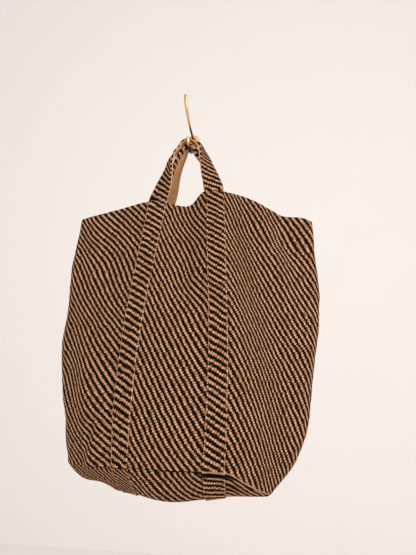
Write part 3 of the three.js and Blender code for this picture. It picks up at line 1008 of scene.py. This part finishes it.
def brass(name, shade_strength):
    """Polished brass with spots of brown tarnishing, and painted shade in that brown where the rod leaves
    the plate, under its crook and at its top.
    """
    colours = bag_colours()
    wires = Wires(name)
    place = wires.place()
    _, depth, height = wires.parts(place)
    height = wires.plus(height, wires.times(wires.noise(place, 140.0, 3.0), 0.008))
    # Painted shade: darker brown where the rod leaves the plate, under its crook and at its top.
    neck = wires.times(wires.step(height, 0.03, 0.018), wires.step(depth, -0.042, -0.036))
    painted_shade = wires.larger(neck, wires.step(height, -0.008, -0.016))
    painted_shade = wires.larger(painted_shade, wires.step(height, 0.052, 0.07, 0.0, 0.55))
    colour = wires.blend(wires.times(painted_shade, shade_strength), colours.brass, colours.tarnish_and_shade)
    spots = wires.times(wires.noise(place, 420.0, 4.0), 0.2)
    wires.link(wires.blend(spots, colour, colours.tarnish_and_shade), wires.shader.inputs["Base Color"])
    wires.shader.inputs["Metallic"].default_value = 1.0
    dull = wires.step(wires.noise(place, 260.0, 3.0), 0.3, 0.8, 0.26, 0.42)
    wires.link(dull, wires.shader.inputs["Roughness"])
    wires.bump(wires.noise(place, 1500.0), 0.00005)
    return wires.material


def plain_stage(name, colour):
    """Matt paper for the floor and backdrop, with a faint unevenness."""
    wires = Wires(name)
    place = wires.place()
    darker = tuple(0.985 * part for part in colour[:3]) + (1.0,)
    mottled = wires.blend(wires.noise(place, 3.0), darker, tuple(colour[:3]) + (1.0,))
    wires.matt(mottled, 0.95, 0.1)
    return wires.material


def handle_row(face, middle, outward, lie):
    """One row of a free handle: points and normals across it, lie says how it is turned and creased."""
    twist = math.radians(lie["twist"])
    crease = math.radians(lie["crease"])
    turn = math.radians(lie["turn"])
    to_panel = Vector((math.sin(turn), math.cos(turn), 0)) * face["sign"]
    inward = -outward
    across = inward * math.cos(twist) + to_panel * math.sin(twist)
    normal = to_panel * math.cos(twist) + outward * math.sin(twist)
    half = bag_sizes().strap_width * 500
    row = []
    for i in range(STRAP_CELLS + 1):
        u = 2 * i / STRAP_CELLS - 1
        soft = math.sqrt(u * u + 0.03) - math.sqrt(0.03)
        point = middle + across * (u * half * math.cos(crease)) + normal * (soft * half * math.sin(crease))
        lean = crease * u / math.sqrt(u * u + 0.03)
        row.append((point, (normal * math.cos(lean) - across * math.sin(lean)).normalized()))
    return row


def handle_rows(face, left_rim, right_rim, radius):
    """Rows of a free handle from the left mouth rim, over the hook, to the right mouth rim."""
    seat = Vector((HOOK_SEAT.x, face["seat_y"], HOOK_SEAT.z))

    def leg(rim, way, lies):
        dx = abs(rim.x - seat.x)
        dz = seat.z - rim.z
        lean = math.atan2(dx, dz) - math.asin(radius / math.hypot(dx, dz))
        outward = Vector((way * math.cos(lean), 0, math.sin(lean)))
        return {"lean": lean, "outward": outward, "top": seat + outward * radius, "rim": rim, "lies": lies}

    def leg_row(side, f):
        names = ("twist", "crease", "turn", "out", "bow")
        lie = {name: along(side["lies"], "f", f, name) for name in names}
        middle = side["top"].lerp(side["rim"], f)
        middle.y = mix(seat.y, side["rim"].y, lie["out"])
        middle += side["outward"] * lie["bow"]
        return handle_row(face, middle, side["outward"], lie)

    left = leg(left_rim, -1, face["left_leg"])
    right = leg(right_rim, 1, face["right_leg"])
    rows = [leg_row(left, i / LEG_CELLS) for i in range(LEG_CELLS - 1, 0, -1)]
    for i in range(ARCH_CELLS + 1):
        angle = mix(math.pi - left["lean"], right["lean"], i / ARCH_CELLS)
        outward = Vector((math.cos(angle), 0, math.sin(angle)))
        middle = seat + outward * radius
        middle.z += face["peak"] * math.sin(math.pi * i / ARCH_CELLS) ** 2
        rows.append(handle_row(face, middle, outward, face["left_leg"][0]))
    rows += [leg_row(right, i / LEG_CELLS) for i in range(1, LEG_CELLS)]
    return rows


def strap_rows(face, radius):
    """Rows of a whole strap, its under face: up the left, over the hook and down the right."""
    rows = body_rows()
    normals = body_normals()
    gap = bag_sizes().sewn_gap / MM

    def column(k):
        return PANEL_CELLS - k if face is FRONT else PANEL_CELLS + k

    def sewn(columns):
        lines = []
        for row, outward in zip(rows, normals):
            places = [column(k) for k in columns]
            lines.append([(row[k] + outward[k] * gap, outward[k]) for k in places])
        lines[-1] = [(before[0].lerp(end[0], 0.6), end[1]) for before, end in zip(lines[-2], lines[-1])]
        return lines

    left = sewn(range(LEFT_STRAP, LEFT_STRAP + STRAP_CELLS + 1))
    right = sewn(range(RIGHT_STRAP + STRAP_CELLS, RIGHT_STRAP - 1, -1))
    middle = STRAP_CELLS // 2
    handle = handle_rows(face, left[0][middle][0], right[0][middle][0], radius)
    return left[::-1] + handle + right, len(left)


def strap_counts(rows, shears, pitch_at, fine=1.0):
    """One part of a strap's weave: its yarns along it, and rows across it, which are finer on its left."""
    sizes = bag_sizes()
    middle = STRAP_CELLS // 2
    passed = 0.0
    counts = []
    for j, row in enumerate(rows):
        down = -row[middle][0].z
        side = "left" if 2 * j < len(rows) else "right"
        if j:
            passed += (row[middle][0] - rows[j - 1][middle][0]).length / pitch_at(side, down)
        shear = along(shears, "down", down, side)
        share = fine if side == "left" else 1.0
        across = [STRAP_EDGE + i / STRAP_CELLS * sizes.strap_rows * share for i in range(STRAP_CELLS + 1)]
        counts.append([(shear * passed_rows - passed, passed_rows) for passed_rows in across])
    return counts


def strap_weave(rows, sewn):
    """Gives the weave of each cell of a strap, whose free handle starts after the sewn rows."""
    sizes = bag_sizes()

    def upper_pitch(side, down):
        return mix(sizes.strap_yarn_top, sizes.strap_yarn_base, smooth(down, 130, 500)) / MM

    handle = strap_counts(rows, HANDLE_SHEAR, upper_pitch)
    panel = strap_counts(rows, PANEL_SHEAR, upper_pitch)
    base = strap_counts(rows, BASE_SHEAR, lambda side, down: BASE_YARN[side], BASE_FINE)
    last = len(rows) - 1

    def weave(i, j, first_row):
        from_end = min(first_row, last - 1 - first_row)
        part = base if from_end < BASE_ROWS else panel if from_end < sewn - 1 else handle
        return part[j][i]

    return weave


def strip_piece(name, rows, height, face, maps):
    """A strip of cloth at a height above its rows, its face outwards."""

    def across(i):
        return STRAP_CELLS - i if face is BACK else i

    def place(i, j):
        point, normal = rows[j][across(i)]
        return point + normal * height

    def turned(value):
        return lambda i, j, first_row: value(across(i), j, first_row)

    turned_maps = {title: turned(value) for title, value in maps.items()}
    return sheet_of_cells(name, STRAP_CELLS, len(rows) - 1, place, turned_maps)


def size_setting(name, description, millimetres):
    return bpy.props.FloatProperty(
        name=name, description=description, default=millimetres * MM, unit="LENGTH"
    )


def colour_setting(name, description, red, green, blue):
    return bpy.props.FloatVectorProperty(
        name=name, description=description, subtype="COLOR", size=4, default=(red, green, blue, 1)
    )


class CarryallSizes(bpy.types.PropertyGroup):
    cloth: size_setting("Bag cloth", "Thickness of the bag's twill", 3)
    strap_cloth: size_setting("Strap cloth", "Thickness of the straps", 2.5)
    tape_cloth: size_setting("Tape", "Thickness of the tape inside the handles", 1.5)
    sewn_gap: size_setting("Sewn gap", "Gap between a strap and the bag", 0.3)
    tape_gap: size_setting("Tape gap", "Gap between a handle and its tape", 0.5)
    layer_gap: size_setting("Layer gap", "Gap between the two handles over the rod", 1.2)
    strap_width: size_setting("Strap width", "Width of each strap", 32)
    strap_yarn_top: size_setting("Strap yarns at the mouth", "Pitch of the strap's yarns", 2.1)
    strap_yarn_base: size_setting("Strap yarns at the base", "Pitch of the strap's yarns", 2.65)
    strap_rows: bpy.props.FloatProperty(
        name="Strap rows", description="Rows of beads across one strap", default=8.4, min=2.0
    )


class CarryallColours(bpy.types.PropertyGroup):
    natural_light: colour_setting("Natural yarn", "Light natural jute", 0.55, 0.288, 0.16)
    natural_dark: colour_setting("Natural shade", "Darker natural jute", 0.29, 0.135, 0.062)
    between: colour_setting("Between beads", "Shaded cloth between the beads", 0.045, 0.024, 0.013)
    black: colour_setting("Black yarn", "Dyed black jute", 0.001, 0.001, 0.001)
    black_worn: colour_setting("Worn black", "Black jute with brown fibres", 0.035, 0.022, 0.013)
    thread: colour_setting("Thread", "Sewing thread", 0.72, 0.4, 0.235)
    tape: colour_setting("Tape", "Plain jute tape", 0.9, 0.475, 0.228)
    tape_dark: colour_setting("Tape shade", "Darker plain jute", 0.46, 0.22, 0.095)
    brass: colour_setting("Brass", "Polished brass", 0.86, 0.5, 0.17)
    # Brown for the spots of tarnishing on the brass, and for the painted shade on the hook's rod.
    tarnish_and_shade: colour_setting("Tarnish", "Brown tarnish", 0.05, 0.017, 0.003)
    paper: colour_setting("Paper", "Floor and backdrop", 0.92, 0.872, 0.845)


def bag_sizes():
    return bpy.context.scene.carryall_sizes


def bag_colours():
    return bpy.context.scene.carryall_colours


class CARRYALL_OT_stage(bpy.types.Operator):
    """Set the camera, the soft lights, the pale floor and the backdrop"""

    bl_idname = "carryall.stage"
    bl_label = "Stage"

    def execute(self, context):
        scene = context.scene
        camera = bpy.data.cameras.new("camera")
        camera.sensor_fit = "HORIZONTAL"
        camera.sensor_width = 24
        camera.lens = PHOTO_FOCAL * camera.sensor_width / PHOTO_WIDTH
        camera.clip_start = 0.02
        holder = bpy.data.objects.new("camera", camera)
        away = Vector((math.sin(VIEW_TURN), -math.cos(VIEW_TURN), 0))
        holder.location = VIEW_TARGET + away * VIEW_DISTANCE
        holder.rotation_euler = (math.pi / 2, 0, VIEW_TURN)
        scene.collection.objects.link(holder)
        scene.camera = holder

        world = bpy.data.worlds.new("world")
        world.use_nodes = True
        world.node_tree.nodes["Background"].inputs[0].default_value = (1.0, 0.97, 0.94, 1)
        world.node_tree.nodes["Background"].inputs[1].default_value = 0.68
        scene.world = world
        scene.view_settings.view_transform = "Standard"

        for name, place, size, power in (
            ("left window", Vector((-1.7, -1.5, 0.35)), 1.3, 20),
            ("right window", Vector((1.8, -1.3, 0.45)), 1.3, 43),
            ("front fill", Vector((0.2, -2.4, 0.2)), 1.6, 10),
        ):
            light = bpy.data.lights.new(name, "AREA")
            light.size = size
            light.energy = power
            lamp = bpy.data.objects.new(name, light)
            lamp.location = place
            aim = Vector((0, -0.06, -0.35)) - place
            lamp.rotation_euler = aim.to_track_quat("-Z", "Y").to_euler()
            scene.collection.objects.link(lamp)

        paper = plain_stage("stage paper", bag_colours().paper)
        bpy.ops.object.select_all(action="DESELECT")
        bpy.ops.mesh.primitive_plane_add(size=9, location=(0, 0, -1.9))
        floor = context.active_object
        floor.name = "floor"
        bpy.ops.mesh.primitive_plane_add(size=9, location=(0, 2.4, 2.6), rotation=(math.pi / 2, 0, 0))
        backdrop = context.active_object
        backdrop.name = "backdrop"
        for sheet in (floor, backdrop):
            sheet.data.materials.append(paper)
        return {"FINISHED"}


class CARRYALL_OT_bag(bpy.types.Operator):
    """Make the bag's twill cloth on the folds of its solid"""

    bl_idname = "carryall.bag"
    bl_label = "Bag cloth"

    def execute(self, context):
        rows = body_rows()

        def weave(i, j, first_row):
            return base_weave()[j - PANEL_ROWS][i] if first_row >= PANEL_ROWS else body_weave()[j][i]

        def crease(i, j, first_row):
            return in_crease(rows[j][i].x, j) if i <= PANEL_CELLS else NO_CREASE

        def place(i, j):
            return rows[j][i]

        maps = {"weave": weave, "crease": crease}
        piece = sheet_of_cells("bag_cloth", len(rows[0]) - 1, len(rows) - 1, place, maps)
        merge_points(piece)
        thicken(piece, bag_sizes().cloth, -1)
        piece.data.materials.append(twill("bag twill", STRIPE_YARNS, BAG_NATURAL))
        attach(piece, "root")
        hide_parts("bag_body")
        return {"FINISHED"}


class CARRYALL_OT_straps(bpy.types.Operator):
    """Make both straps with their free handles, and the tape inside each handle"""

    bl_idname = "carryall.straps"
    bl_label = "Straps and tapes"

    def execute(self, context):
        sizes = bag_sizes()
        strap_twill = twill("strap twill", STRIPE_YARNS, STRAP_NATURAL, sizes.strap_rows)
        tape_cloth = plain_tape("plain jute tape")

        def over_rod(face, thickness):
            return thickness / MM / math.cos(math.radians(face["left_leg"][0]["crease"]))

        lining = sizes.tape_gap + sizes.tape_cloth
        lower = ROD_RADIUS + sizes.sewn_gap / MM + over_rod(BACK, lining)
        upper = lower + over_rod(BACK, sizes.strap_cloth)
        upper += sizes.layer_gap / MM + FRONT["stand"] + over_rod(FRONT, lining)
        for side, face, radius in (("front", FRONT, upper), ("back", BACK, lower)):
            rows, sewn = strap_rows(face, radius)
            weave = strap_weave(rows, sewn)
            middle = STRAP_CELLS // 2
            last = len(rows) - 1

            def crease(i, j, first_row):
                from_end = min(j, last - j)
                if face is BACK or from_end >= sewn:
                    return NO_CREASE
                return in_crease(rows[j][middle][0].x, sewn - 1 - from_end)

            def handle_weave(i, j, first_row):
                return weave(i, sewn + j, sewn + first_row)

            def across(i, j, first_row):
                return i / STRAP_CELLS, 0.0

            maps = {"weave": weave, "crease": crease, "across": across}
            strap = strip_piece(side + "_strap_cloth", rows, 0, face, maps)
            thicken(strap, sizes.strap_cloth, 1, 0.6 * MM)
            strap.data.materials.append(strap_twill)
            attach(strap, "root")
            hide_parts("strap_" + side)
            free = rows[sewn : len(rows) - sewn]
            tape = strip_piece(side + "_handle_tape", free, -lining / MM, face, {"weave": handle_weave})
            thicken(tape, sizes.tape_cloth, 1, 0.4 * MM)
            tape.data.materials.append(tape_cloth)
            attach(tape, "root")
            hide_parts("handle_lining_" + side)
        return {"FINISHED"}


class CARRYALL_OT_hook(bpy.types.Operator):
    """Give the brass hook its metal"""

    bl_idname = "carryall.hook"
    bl_label = "Brass hook"

    def execute(self, context):
        # How strongly each part of the hook gets the painted shade.
        for node, shade_strength in (("hook_rod", 0.94), ("hook_plate", 0.0)):
            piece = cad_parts[node]
            piece.data.materials.clear()
            piece.data.materials.append(brass(node.replace("_", " ") + " brass", shade_strength))
        return {"FINISHED"}


class CARRYALL_PT_panel(bpy.types.Panel):
    """The steps of the carryall, in order"""

    bl_idname = "CARRYALL_PT_panel"
    bl_label = "Carryall"
    bl_space_type = "VIEW_3D"
    bl_region_type = "UI"
    bl_category = "Carryall"

    def draw(self, context):
        for operator in OPERATORS:
            self.layout.operator(operator.bl_idname)
        for settings in (context.scene.carryall_sizes, context.scene.carryall_colours):
            for name in settings.__annotations__:
                self.layout.prop(settings, name)


OPERATORS = (CARRYALL_OT_stage, CARRYALL_OT_bag, CARRYALL_OT_straps, CARRYALL_OT_hook)
CLASSES = (CarryallSizes, CarryallColours, *OPERATORS, CARRYALL_PT_panel)


def register():
    for cls in CLASSES:
        bpy.utils.register_class(cls)
    bpy.types.Scene.carryall_sizes = bpy.props.PointerProperty(type=CarryallSizes)
    bpy.types.Scene.carryall_colours = bpy.props.PointerProperty(type=CarryallColours)


def unregister():
    del bpy.types.Scene.carryall_colours
    del bpy.types.Scene.carryall_sizes
    for cls in reversed(CLASSES):
        bpy.utils.unregister_class(cls)


def main():
    register()
    bpy.ops.carryall.stage()
    bpy.ops.carryall.bag()
    bpy.ops.carryall.straps()
    bpy.ops.carryall.hook()


if __name__ == "__main__":
    main()
